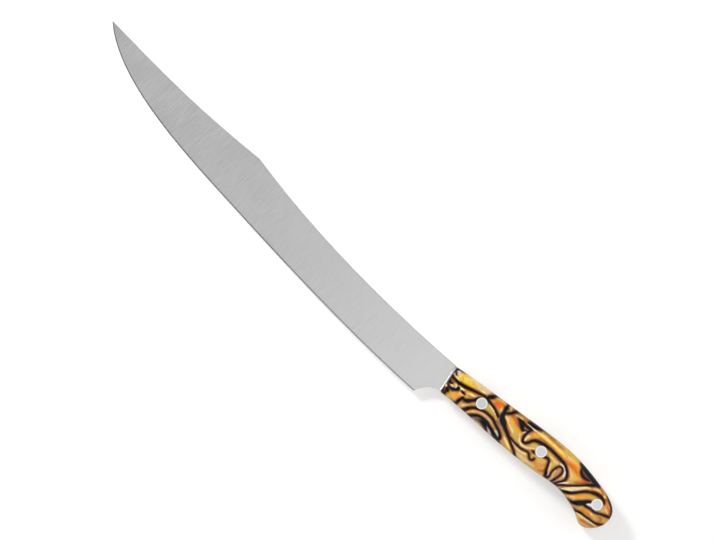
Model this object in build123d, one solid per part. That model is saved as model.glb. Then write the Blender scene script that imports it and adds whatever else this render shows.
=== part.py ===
from build123d import *
import os
from math import cos, pi, sqrt

# A carving knife with a full tang and two riveted handle scales, lying on its right side.
# The tip points along -X, the back of the blade along +Y, and the left side faces up (+Z).
# While it is built, X runs from the tip, Y from the line between tip and butt, and Z from the
# middle of the steel. At the end the whole knife moves to the middle of its own footprint.
# All lengths are in millimetres.

# Blade
blade_length = 300.0  # tip to the front of the handle
blade_height = 31.8  # cutting edge to clip point, the unit of the blade's outline
steel_thickness = 2.5  # tang and back of the blade
tip_thickness = 1.2  # the back of the steel tapers to this at the tip
edge_thickness = 0.35  # behind the cutting bevel
bevel_width = 0.8  # cutting bevel, across the edge
edge_land = 0.04  # flat that is left on the cutting edge
clip_radius = 8.0  # rounding of the clip point
heel_setback = 9.3  # heel of the cutting edge to the front of the handle
choil_depth = 2.3  # how far the choil's arc bends in from its chord
ricasso_length = 0.15  # flat steel in front of the scales
plunge_length = 1.1  # over this the grind rises to the flat steel, along the scales' front
crown_angle = 16  # degrees that the back and the choil lean in from their middle ridge

# Handle
handle_length = 130.2
handle_width = 24.4  # the unit of the handle's outline
scale_thickness = 8.75  # each scale, from the tang to its flat side
scale_front_drop = 1.5  # the scale's front is thinner than its flat side by this
scale_flat_lead = 2.0  # flat side in front of the first rivet's head
scale_edge_radius = 4.0  # rounding of the long edges
scale_front_radius = 0.9  # rounding of the front edges, and of the tang's lower corner there

# Rivets
rivet_head_diameter = 7.4
rivet_head_height = 2.2
rivet_rim_chamfer = 0.3
rivet_tube_diameter = 5.0
rivet_pin_diameter = 3.2
rivet_fit_gap = 0.04  # around heads and tubes
rivet_head_recess = 0.02  # heads lie this far below the scale's side
rivet_end_gap = 0.4  # past the ends of tube and pin

# Outlines of the blade, as shares of its length and height. The edge's lengths are shares of
# the distance from tip to heel.
front_back_shares = [(0.0, 0.0), (0.159, -0.023), (0.26, -0.012), (0.41, 0.146)]
rear_back_shares = [(0.41, 0.146), (0.596, -0.115), (0.805, -0.102)]
edge_shares = [
    (0.0, -0.013),
    (0.0168, -0.133),
    (0.0506, -0.31),
    (0.118, -0.535),
    (0.236, -0.737),
    (0.438, -0.862),
    (0.758, -0.941),
    (0.885, -0.93),
    (1.0, -0.885),
]
grind_top_share = 0.2  # the flats would reach full thickness this far above the tip
station_count = 14  # cross-sections that shape the blade
plunge_steps = 4  # and the step in front of the scales

# Outline of the handle, as shares of its length and width, from the top of its front round the
# butt to the bottom of its front.
handle_shares = [
    (-0.0115, 0.043),
    (0.14, 0.188),
    (0.329, 0.349),
    (0.516, 0.509),
    (0.69, 0.589),
    (0.845, 0.52),
    (0.934, 0.423),
    (0.987, 0.238),
    (0.999, -0.075),
    (0.984, -0.295),
    (0.956, -0.465),
    (0.916, -0.55),
    (0.874, -0.453),
    (0.807, -0.345),
    (0.751, -0.299),
    (0.61, -0.395),
    (0.422, -0.534),
    (0.234, -0.603),
    (0.093, -0.65),
    (0.0155, -0.7),
]
choil_end_share = 0.95  # where the choil meets the handle's front, from its top to its bottom
rivet_shares = {"front": (0.19, -0.161), "middle": (0.546, 0.049), "rear": (0.906, 0.11)}

overrun = 1.0  # cutters reach this far past what they cut
half_steel = steel_thickness / 2
half_handle = half_steel + scale_thickness
heel_x = blade_length - heel_setback
rivet_head_top = half_handle - rivet_head_recess
rivet_seat = rivet_head_top - rivet_head_height


def blade_point(shares):
    return Vector(shares[0] * blade_length, shares[1] * blade_height)


def edge_point(shares):
    return Vector(shares[0] * heel_x, shares[1] * blade_height)


def handle_point(shares):
    return Vector(blade_length + shares[0] * handle_length, shares[1] * handle_width)


front_top = handle_point(handle_shares[0])
front_bottom = handle_point(handle_shares[-1])
choil_end = front_top + (front_bottom - front_top) * choil_end_share
front_lean = (front_bottom.X - front_top.X) / (front_top.Y - front_bottom.Y)


def blade_section(x, edge_y, slope, back, edge, land, lean=0):
    """Cross-section of the steel: two flats that end in the cutting bevels. It is at x level
    with the top of the handle's front, and may lean from there."""
    back_y = grind_top_share * blade_height
    bevel_y = edge_y + bevel_width * sqrt(1 + slope**2)
    corners = [(back_y, back / 2), (bevel_y, edge / 2), (edge_y, land / 2)]
    left = [(x + lean * (front_top.Y - y), y, z) for y, z in corners]
    right = [(x, y, -z) for x, y, z in reversed(left)]
    return Wire.make_polygon(left + right, close=True)


def ground_steel():
    """Tapered and ground steel from the tip into the tang, still too wide at back and heel."""
    cutting_edge = Spline([edge_point(shares) for shares in edge_shares])
    sections = []
    for station in range(station_count + 1):
        along = (station / station_count) ** 1.5
        point = cutting_edge @ along
        slope = (cutting_edge % along).Y / (cutting_edge % along).X
        taper = (1 - point.X / heel_x) ** 2
        back = steel_thickness - (steel_thickness - tip_thickness) * taper
        sections.append(blade_section(point.X, point.Y, slope, back, edge_thickness, edge_land))

    # In front of the scales the grind rises to flat steel, in a step as smooth as a wheel leaves.
    steps = []
    for step in range(plunge_steps + 1):
        rise = (1 - cos(pi * step / plunge_steps)) / 2
        x = front_top.X - ricasso_length - plunge_length * (1 - step / plunge_steps)
        edge = edge_thickness + (steel_thickness - edge_thickness) * rise
        land = edge_land + (steel_thickness - edge_land) * rise
        steps.append(blade_section(x, point.Y, slope, steel_thickness, edge, land, front_lean))
    tang_x = front_bottom.X + heel_setback
    tang = blade_section(tang_x, point.Y, slope, steel_thickness, steel_thickness, steel_thickness)
    behind_heel = Solid.make_loft([sections[-1], steps[0]], ruled=True)
    flat = Solid.make_loft([steps[-1], tang], ruled=True)
    return Solid.make_loft(sections) + behind_heel + Solid.make_loft(steps) + flat


def blade_profile():
    """The blade seen from its side, as a block that is open below the cutting edge."""
    front = Bezier([blade_point(shares) for shares in front_back_shares])
    rear = Bezier([blade_point(shares) for shares in rear_back_shares] + [front_top])
    heel = edge_point(edge_shares[-1])
    past_heel = heel + (heel - choil_end).normalized() * overrun
    below = 2 * heel.Y
    in_tang = (front_top + front_bottom) / 2 + Vector(heel_setback, 0)
    tail = Polyline(rear @ 1, rear @ 1 + (rear % 1) * heel_setback, in_tang, choil_end)
    choil = SagittaArc(choil_end, past_heel, -choil_depth)
    under = Polyline(choil @ 1, (past_heel.X, below), (-overrun, below), (-overrun, 0), (0, 0))
    plan = make_face([front, rear, tail, choil, under])
    plan = fillet(plan.vertices().sort_by_distance(rear @ 0)[0], clip_radius)
    left = extrude(plan, half_steel + overrun, taper=crown_angle)
    return left + mirror(left, about=Plane.XY)


def handle_block(bottom, top):
    """The handle's outline as a straight block."""
    rim = Spline([handle_point(shares) for shares in handle_shares])
    outline = make_face([rim, Line(rim @ 1, rim @ 0)])
    return Pos(0, 0, bottom) * extrude(outline, top - bottom)


def rivet_holes(diameter, bottom, top):
    """Round cutters at the rivets' places."""
    cutter = Cylinder(diameter / 2 + rivet_fit_gap, top - bottom)
    middle = (bottom + top) / 2
    return [Pos(*handle_point(shares)) * Pos(0, 0, middle) * cutter for shares in rivet_shares.values()]


def blade_and_tang():
    tang = handle_block(-half_steel, half_steel)
    corner = tang.edges().filter_by(Axis.Z).sort_by(Axis.Y)[0]
    tang = fillet(corner, scale_front_radius)
    steel = (ground_steel() & blade_profile()) + tang
    return steel - rivet_holes(rivet_tube_diameter, -half_handle, half_handle)


def scale_swell():
    """Side block that the scale's outer face follows: it rises from the front to a flat."""
    first_rivet = handle_point(rivet_shares["front"])
    flat_x = first_rivet.X - rivet_head_diameter / 2 - scale_flat_lead
    end_x = blade_length + handle_length + overrun
    flat = Vector(flat_x, 0, half_handle)
    front = Vector(front_top.X - overrun, 0, half_handle - scale_front_drop)
    rise = TangentArc(flat, front, tangent=(-1, 0, 0))
    rest = Polyline(front, (front.X, 0, 0), (end_x, 0, 0), (end_x, 0, half_handle), flat)
    reach = 2 * handle_width
    side = extrude(make_face([rise, rest]), 2 * reach, dir=(front_lean, -1, 0))
    return Pos(-front_lean * reach, reach, 0) * side


def left_scale():
    scale = handle_block(half_steel, half_handle + overrun) & scale_swell()
    upright = [face for face in scale.faces() if abs(face.normal_at().Z) < 0.5]
    wall = ShapeList(upright).sort_by(SortBy.AREA)[-1]
    half_way = (half_steel + half_handle) / 2
    long_edges = [edge for edge in wall.edges() if (edge @ 0.5).Z > half_way]
    scale = fillet(long_edges, scale_edge_radius)
    front = scale.faces().sort_by(Axis.X)[0]
    scale = fillet(front.edges().sort_by(Axis.Z)[1:], scale_front_radius)
    through = rivet_holes(rivet_tube_diameter, half_steel - overrun, half_handle)
    sunk = rivet_holes(rivet_head_diameter, rivet_seat, half_handle + overrun)
    return scale - through - sunk


def round_bar(diameter, bottom, top):
    return Pos(0, 0, (bottom + top) / 2) * Cylinder(diameter / 2, top - bottom)


def rivet_head():
    """Head on the left side of the handle, its outer rim broken."""
    head = round_bar(rivet_head_diameter, rivet_seat, rivet_head_top)
    return chamfer(head.edges().sort_by(Axis.Z)[-1], rivet_rim_chamfer)


def rivet_tube():
    """Hollow half of a rivet: its head sits in the left scale."""
    tube = round_bar(rivet_tube_diameter, rivet_end_gap - rivet_seat, rivet_seat)
    bore = round_bar(rivet_pin_diameter, -rivet_seat, rivet_seat)
    return rivet_head() + (tube - bore)


def rivet_pin():
    """Solid half of a rivet: its head sits in the right scale and its pin fills the tube."""
    pin = round_bar(rivet_pin_diameter, -rivet_seat, rivet_seat - rivet_end_gap)
    return mirror(rivet_head(), about=Plane.XY) + pin


nodes = {"blade_and_tang": blade_and_tang(), "left_scale": left_scale()}
nodes["right_scale"] = mirror(nodes["left_scale"], about=Plane.XY)
for place, shares in rivet_shares.items():
    nodes[f"{place}_rivet_tube"] = Pos(*handle_point(shares)) * rivet_tube()
    nodes[f"{place}_rivet_pin"] = Pos(*handle_point(shares)) * rivet_pin()

box = Compound([solid for shape in nodes.values() for solid in shape.solids()]).bounding_box()
to_origin = Pos(-box.center().X, -box.center().Y, -box.min.Z)
os.makedirs("parts", exist_ok=True)
for name, shape in nodes.items():
    export_step(to_origin * shape, f"parts/{name}.step")
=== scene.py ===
from math import pi, radians

import bmesh
import bpy
import numpy as np
from mathutils import Matrix, Vector


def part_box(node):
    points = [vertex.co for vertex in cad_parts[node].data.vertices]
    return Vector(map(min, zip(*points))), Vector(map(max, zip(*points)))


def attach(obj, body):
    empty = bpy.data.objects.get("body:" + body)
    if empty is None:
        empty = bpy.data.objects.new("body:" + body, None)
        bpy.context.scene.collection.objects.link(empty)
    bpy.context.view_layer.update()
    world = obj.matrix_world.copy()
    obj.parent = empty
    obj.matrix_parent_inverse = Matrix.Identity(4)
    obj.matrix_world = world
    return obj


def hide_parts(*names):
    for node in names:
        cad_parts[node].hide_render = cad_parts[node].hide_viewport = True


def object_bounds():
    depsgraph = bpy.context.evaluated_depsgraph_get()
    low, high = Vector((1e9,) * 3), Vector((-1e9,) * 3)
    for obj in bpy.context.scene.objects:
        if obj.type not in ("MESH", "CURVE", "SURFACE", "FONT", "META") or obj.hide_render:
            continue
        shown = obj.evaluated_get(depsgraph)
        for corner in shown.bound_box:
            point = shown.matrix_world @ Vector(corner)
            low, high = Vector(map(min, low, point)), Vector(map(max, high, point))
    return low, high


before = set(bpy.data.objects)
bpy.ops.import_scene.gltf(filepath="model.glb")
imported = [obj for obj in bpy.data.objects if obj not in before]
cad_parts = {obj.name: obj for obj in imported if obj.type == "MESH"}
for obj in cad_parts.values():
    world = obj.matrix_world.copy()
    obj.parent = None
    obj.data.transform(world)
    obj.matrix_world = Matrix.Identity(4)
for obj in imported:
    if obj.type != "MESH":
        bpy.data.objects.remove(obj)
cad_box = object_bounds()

mm = 0.001

# The knife lies on its right side: tip along -X, back of the blade along +Y, left side up.

# Handle scales
edge_rounding = 4.0 * mm  # of the long edges
front_rounding = 0.9 * mm  # of the front edges
front_drop = 1.5 * mm  # the front is thinner than the flat side by this
front_overrun = 1.0 * mm  # the drop ends this far in front of the scale
flat_lead = 2.0 * mm  # flat side in front of the first rivet's head
head_height = 2.2 * mm
tube_radius = 2.5 * mm
fit_gap = 0.04 * mm

# Meshes of the scales
cell = 0.34 * mm
rim_step = cell / 4
merge_distance = cell / 500
wall_rows = rounding_rows = 14
flat_cells = 46
front_steps = np.array([0, 0.06, 0.16, 0.32, 0.55, 0.9]) * mm  # first columns, from the front
past_corner = 8  # the first column that is clear of the front's rounded corners
turn_length = 1.5 * edge_rounding  # columns turn from the front's line to the rim's over this
butt_end = np.array([0.8, -0.6])  # the rim's halves meet at its furthest point this way
hole_sides = 96  # of the rivets' holes
crease_angle = 35  # degrees
straight_length = 5 * mm  # the front's edge is longer than this
nearly = 0.999  # of a full value, where equal ones are meant
batch = 4000  # points measured together

# Marbling of the resin. Places are in marble units along and across the handle,
# and widths are half widths.
marble_unit = 0.9963 * mm
marble_offset = np.array([0.4, -1.05]) * mm  # of the origin from the top of the scale's front
marble_length = 131  # the right scale's marbling runs back from here
spine = [(0, -7.5), (60, 0.0), (116, 1.0)]  # middle line of the handle
spine_front = 4  # it runs from here
lean_out, lean_about = 0.8, 0.25  # on the walls, out from that line and to either side
pace_along, pace_across = 0.21, 0.33  # radians per marble unit
vein_step, stroke_step = 0.2, 0.3
halo_reach = 1.6  # deeper colour beside the veins
halo_tint = np.array([0.48, 0.26, 0.14])
band_softness, streak_softness = 1.6, 0.7
stroke_cover = 0.85
brown, slate = 0.0, 1.0
veins = [
    (slate, [(12, 7, 0.5), (8, 4.6, 0.6), (5.2, 2.2, 0.3), (3.4, 1.6, 0.4), (1.8, 1.2, 0.6),
        (0.6, 0.5, 0.85), (0.3, -0.9, 0.7), (0.5, -2.5, 0.4)]),
    (slate, [(1.1, -1.3, 0.3), (1.9, -2.1, 0.4), (2.8, -2.9, 0.25)]),
    (brown, [(0.4, -3.9, 0.5), (1.2, -4.8, 0.8), (3, -5.1, 0.6), (5.4, -5.1, 0.8), (8, -4.8, 0.95),
        (10.4, -4.3, 1), (12.8, -3.5, 1), (15.4, -2.5, 0.9), (18, -1.6, 0.8), (20.5, -0.7, 0.75),
        (23.4, 0.3, 0.7), (26, 0.6, 0.85), (28.5, 0.2, 0.8), (31, -0.1, 0.75), (34, -0.6, 0.75),
        (36.5, -1.5, 0.8), (38.5, -2.2, 0.9)]),
    (slate, [(25.7, 0.9, 0.8), (26.6, 2.2, 1.2), (27.5, 3.3, 1.25), (28.4, 4.5, 1), (29.4, 6.2, 0.6),
        (30.4, 8.2, 0.9), (29.4, 11, 0.8)]),
    (brown, [(0.8, -5, 0.7), (1.2, -6.8, 0.5), (1.9, -8, 0.9), (3, -8.4, 0.8), (4.4, -8, 0.5)]),
    (slate, [(4.8, -10.4, 0.5), (6.2, -10.5, 0.75), (7.7, -10, 0.85), (8.8, -9, 0.85), (9.4, -7.8, 1.1),
        (8.9, -6.8, 0.4)]),
    (slate, [(2.2, -9.8, 0.35), (3.2, -10.2, 0.35), (4.6, -11.3, 0.4)]),
    (brown, [(3.8, -12.2, 0.5), (4.9, -12.7, 0.9), (5.7, -13.4, 0.7)]),
    (brown, [(2.3, -12.9, 0.5), (2.8, -14.4, 0.8), (3.4, -16.4, 0.9), (3, -20, 0.7)]),
    (brown, [(4.8, -13.8, 0.5), (5.2, -15.4, 0.8), (5.6, -17.4, 0.9), (8, -21, 0.7)]),
    (brown, [(11.8, -7.2, 0.4), (13.1, -7.3, 0.75), (14.4, -7.5, 0.4)]),
    (brown, [(15.2, -9.5, 0.6), (14.9, -11, 0.8), (14.6, -13, 0.9), (14.5, -15.4, 0.9), (13.4, -18, 0.9),
        (15.6, -21, 0.8)]),
    (slate, [(14.9, -9.9, 0.4), (16.5, -9.9, 0.8), (18.3, -9.3, 1.2), (19.5, -8, 1.1), (20.6, -6.6, 0.9),
        (21.6, -5.2, 1), (22, -3.8, 0.9), (22.6, -2.2, 0.5)]),
    (brown, [(21.6, -20.4, 0.8), (20, -17.8, 0.9), (20.4, -15.4, 1.1), (21.2, -13.9, 1.15), (22.1, -12, 1),
        (23.2, -10.4, 0.85), (24.7, -8.9, 0.85), (26.4, -8, 0.75), (28.2, -7.2, 0.7), (30, -6.4, 0.7),
        (32, -5.9, 0.7), (34, -5.8, 0.7), (36, -5.7, 0.75), (38, -6, 0.75), (39.8, -6.6, 0.8),
        (41.5, -7.2, 0.75), (43.2, -7.7, 0.75), (45.2, -8.4, 0.8), (47, -9.3, 0.85), (48.3, -10.4, 0.95),
        (48.6, -11.6, 1), (48, -13.2, 0.9), (45.6, -15.4, 0.8), (42, -16.4, 0.6)]),
    (slate, [(26, -20.6, 0.7), (24.2, -17.6, 0.9), (25.2, -15, 0.9), (26.8, -13.3, 0.95),
        (28.3, -11.8, 0.85), (29.9, -10.7, 0.8), (31.6, -10.1, 0.8), (33.4, -9.9, 0.9), (35.2, -9.9, 1),
        (37.2, -10.1, 1.05), (39.2, -10.6, 1), (41.2, -11, 1), (43.2, -11.6, 1.1), (45.2, -12.2, 1.2),
        (47, -12.5, 1), (48.6, -12.8, 0.7), (51.4, -14.6, 0.8), (52.6, -17.6, 0.7)]),
    (slate, [(33, -11.6, 0.5), (34.8, -11.6, 1), (36.4, -12, 1.1), (37.8, -12.6, 0.8), (39, -13.4, 0.6),
        (40, -14.4, 0.5), (37.6, -16.4, 0.6), (33.4, -17, 0.8), (30.4, -18.8, 0.5)]),
    (slate, [(38.3, 6.5, 0.4), (38.6, 5, 1.2), (38.9, 3.4, 1), (39.7, 1.9, 1.2), (40, 0.3, 1.3),
        (41, -1.2, 1.6), (42.4, -2.2, 1.8), (44, -3, 1.6), (45.6, -3.8, 1.25)]),
    (brown, [(39.4, 2.6, 0.6), (41, 2.9, 0.75), (42.2, 3.8, 0.8), (43, 5, 0.85), (43.7, 6.4, 0.7)]),
    (brown, [(44, -3.2, 1.2), (45.6, -3.9, 1.15), (47.4, -4.7, 1.1), (49.2, -5.4, 1.05), (51.2, -6.3, 0.95),
        (53, -7.1, 0.8), (55, -8.2, 0.65), (57, -9.1, 0.65), (59, -9.9, 0.6), (61, -10.9, 0.6),
        (62.9, -12.2, 0.6), (65.4, -14.4, 0.7), (66, -17.4, 0.6)]),
    (brown, [(52.8, -6, 0.4), (55, -6.4, 0.5), (57, -6.6, 0.55), (59, -6.4, 0.65), (61, -6.5, 0.6),
        (63, -6, 0.55), (65, -5.3, 0.5), (66.6, -4.9, 0.55), (68.1, -5.2, 0.55), (69.3, -6.3, 0.55),
        (70.8, -6.9, 0.55), (72.1, -6.3, 0.6), (72.4, -5, 0.6)]),
    (brown, [(67.9, -2.1, 0.2), (69.2, -2.2, 0.65), (70.4, -2.3, 0.2)]),
    (brown, [(48.4, 5.7, 0.5), (50.2, 5.2, 0.85), (52, 4.3, 1.15), (54, 3.1, 1.15), (55.5, 2.6, 0.8),
        (56.3, 3.4, 0.5)]),
    (brown, [(49.6, 5.9, 0.5), (51.4, 5.4, 0.9), (53, 4.7, 0.9), (54.2, 3.8, 0.8)]),
    (brown, [(49.8, 6.1, 0.5), (52.4, 6, 0.75), (54.6, 5.7, 0.8), (56.6, 6, 1), (58.2, 6.2, 0.9),
        (59.6, 6.7, 0.4)]),
    (slate, [(56.2, 3.8, 0.3), (57.4, 3.9, 0.35), (58.2, 5, 0.5)]),
    (brown, [(58.9, 6.2, 0.7), (58.5, 4.6, 0.75), (58.2, 2.6, 0.7), (58.3, 0.6, 0.7), (59, -1.2, 0.75),
        (60.3, -2.4, 0.8), (61.7, -2, 0.8), (62.8, -0.6, 0.8), (63.5, 1.2, 0.8), (64.6, 2.9, 0.9),
        (66.4, 4.1, 1), (68.6, 4.8, 1), (70.8, 5.6, 0.95), (73.2, 6, 0.9), (76, 6.3, 0.85), (79, 6.4, 0.85),
        (82, 6.4, 0.85), (85, 6.3, 0.9), (87.6, 6.1, 0.85), (90, 5.2, 0.8), (92, 4, 0.8), (93.6, 2.6, 0.75),
        (94.7, 0.9, 0.75), (94.9, -0.9, 0.7), (94.2, -2.7, 0.6), (93.1, -4.4, 0.55), (92.2, -6, 0.55),
        (90.4, -9, 0.6), (86.8, -11.2, 0.7), (82.6, -12, 0.8), (78.6, -13.4, 0.7), (74.6, -13, 0.5)]),
    (slate, [(54.4, 8.3, 0.5), (56.4, 8.8, 0.9), (58.6, 9.1, 1), (60.8, 9.7, 0.9), (63.2, 10.4, 0.5)]),
    (brown, [(76.4, 0.5, 0.7), (77.8, 1, 0.75), (79.2, 0.9, 0.65), (80.3, -0.3, 0.65), (81.1, -1.9, 0.65),
        (81.9, -3.5, 0.65), (82.8, -4.9, 0.75), (84, -6.4, 0.95), (85.3, -7.6, 0.85), (86.3, -7, 0.7),
        (86.3, -5.4, 0.5), (85.8, -3.4, 0.5), (85.6, -1.4, 0.5), (85.9, 0.6, 0.5), (86.5, 2.4, 0.5),
        (87.7, 3.2, 0.5), (89.1, 3.1, 0.5), (90.1, 2.1, 0.55), (90.7, 0.5, 0.55), (90.7, -1.5, 0.55),
        (90.4, -3.5, 0.55), (90, -5.5, 0.6), (89.6, -7.8, 0.5)]),
    (slate, [(87.4, -13.6, 0.5), (90.4, -9.8, 0.5), (91.8, -6.9, 0.4), (93.4, -6.4, 0.5),
        (94.6, -5.3, 0.55), (96, -4, 0.6), (97.6, -2.6, 0.55)]),
    (brown, [(97.4, -2.8, 0.5), (99.5, -1, 0.55), (101.2, 0.7, 0.55), (102.9, 2.4, 0.6), (104.4, 4, 0.6),
        (105.9, 5.7, 0.65), (107.4, 7.4, 0.85), (108.8, 8.7, 0.95), (110.4, 10.2, 0.8)]),
    (slate, [(95, 13.4, 0.6), (97.4, 13, 1.2), (100, 12.8, 1.5), (103, 12.6, 1.8), (106, 12.3, 1.8),
        (108.8, 11.8, 1.7), (110.8, 11.4, 1.4), (112.8, 11.3, 0.7)]),
    (brown, [(97.4, 11.4, 0.5), (98.6, 9.9, 0.75), (100.2, 9, 0.9), (102.2, 8.7, 0.9), (104, 9, 0.7),
        (105.8, 9.6, 0.5)]),
    (brown, [(92.8, -13, 0.7), (95.4, -9.8, 0.7), (97.4, -7.6, 0.7), (99.2, -6.2, 0.9), (101, -5.1, 0.95),
        (103, -3.7, 0.85), (104.8, -1.8, 0.75), (106.2, 0.1, 0.7), (107.6, 1.9, 0.7), (109.2, 3.6, 0.75),
        (111, 5, 0.75), (112.8, 6.1, 0.9), (114.8, 7, 1), (117, 7.6, 1), (119.2, 7.7, 0.85),
        (121, 7.2, 0.7), (122.3, 6.2, 0.4)]),
    (slate, [(99.4, -13, 0.6), (102.6, -9.2, 0.6), (105.2, -7.6, 0.5), (107.4, -7.2, 0.8),
        (109.2, -6, 1.15), (110.8, -4.5, 1.45), (112.3, -2.9, 1.45), (113.4, -1.3, 1.2), (114.5, 0.2, 0.95),
        (115.8, 1.4, 0.6)]),
    (slate, [(113.4, -2.9, 0.9), (115.2, -2.8, 0.8), (117, -2.3, 0.7), (118.8, -2, 0.6), (120.6, -1.9, 0.6),
        (122.2, -1.5, 0.6), (123.7, -0.7, 0.65)]),
    (brown, [(123.2, -0.9, 0.5), (125.2, 0.2, 0.6), (127.2, 1.1, 0.65), (129.2, 2, 0.65), (131.4, 3, 0.6)]),
    (brown, [(105.4, -14.6, 0.6), (108.4, -11.2, 0.6), (110.6, -9.6, 0.5), (112.6, -9.3, 0.6),
        (114.2, -8.7, 0.65), (116, -8, 0.6), (118.2, -7.7, 0.55), (120.6, -7.4, 0.6), (123, -6.9, 0.55),
        (125.4, -6.5, 0.55), (127.6, -5.8, 0.6), (129.2, -4.8, 0.6), (131.2, -3.4, 0.5), (134.4, -2.6, 0.7),
        (137, -3.6, 0.6)]),
    (brown, [(115, 16, 0.6), (118.2, 12.8, 0.5), (120.6, 10.8, 0.3), (122.8, 9.9, 0.55), (125.2, 8.8, 0.6),
        (127.4, 7.5, 0.55), (129.1, 5.8, 0.5), (130.4, 4, 0.5), (133.4, 1.4, 0.7), (136.6, 1.6, 0.7)]),
    (slate, [(10, 10, 0.5), (15.4, 7.4, 0.9), (20.6, 8.4, 0.7), (24.4, 11.2, 0.6)]),
    (slate, [(36.4, 13, 0.7), (37.2, 10.2, 0.9), (38.3, 6.5, 0.4)]),
    (brown, [(43.7, 6.4, 0.7), (45.4, 9.8, 0.7), (45, 13.4, 0.7)]),
    (brown, [(48, 14.8, 0.5), (51.6, 12.8, 0.8), (56, 14.2, 0.7), (61, 13.6, 0.5)]),
    (brown, [(64, 17.6, 0.5), (69, 15, 0.9), (75, 16.4, 0.8), (80.6, 15.8, 0.7), (86, 17.6, 0.7),
        (92, 16, 0.9), (97, 16.6, 0.6)]),
    (slate, [(96.6, 17.8, 0.7), (102, 16, 1.2), (107.4, 15.4, 0.9)]),
    (brown, [(111, -16, 0.5), (116.4, -16.8, 0.8), (122.4, -17, 0.8), (127.4, -14.6, 0.7),
        (131.6, -10.4, 0.6)]),
]

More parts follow.
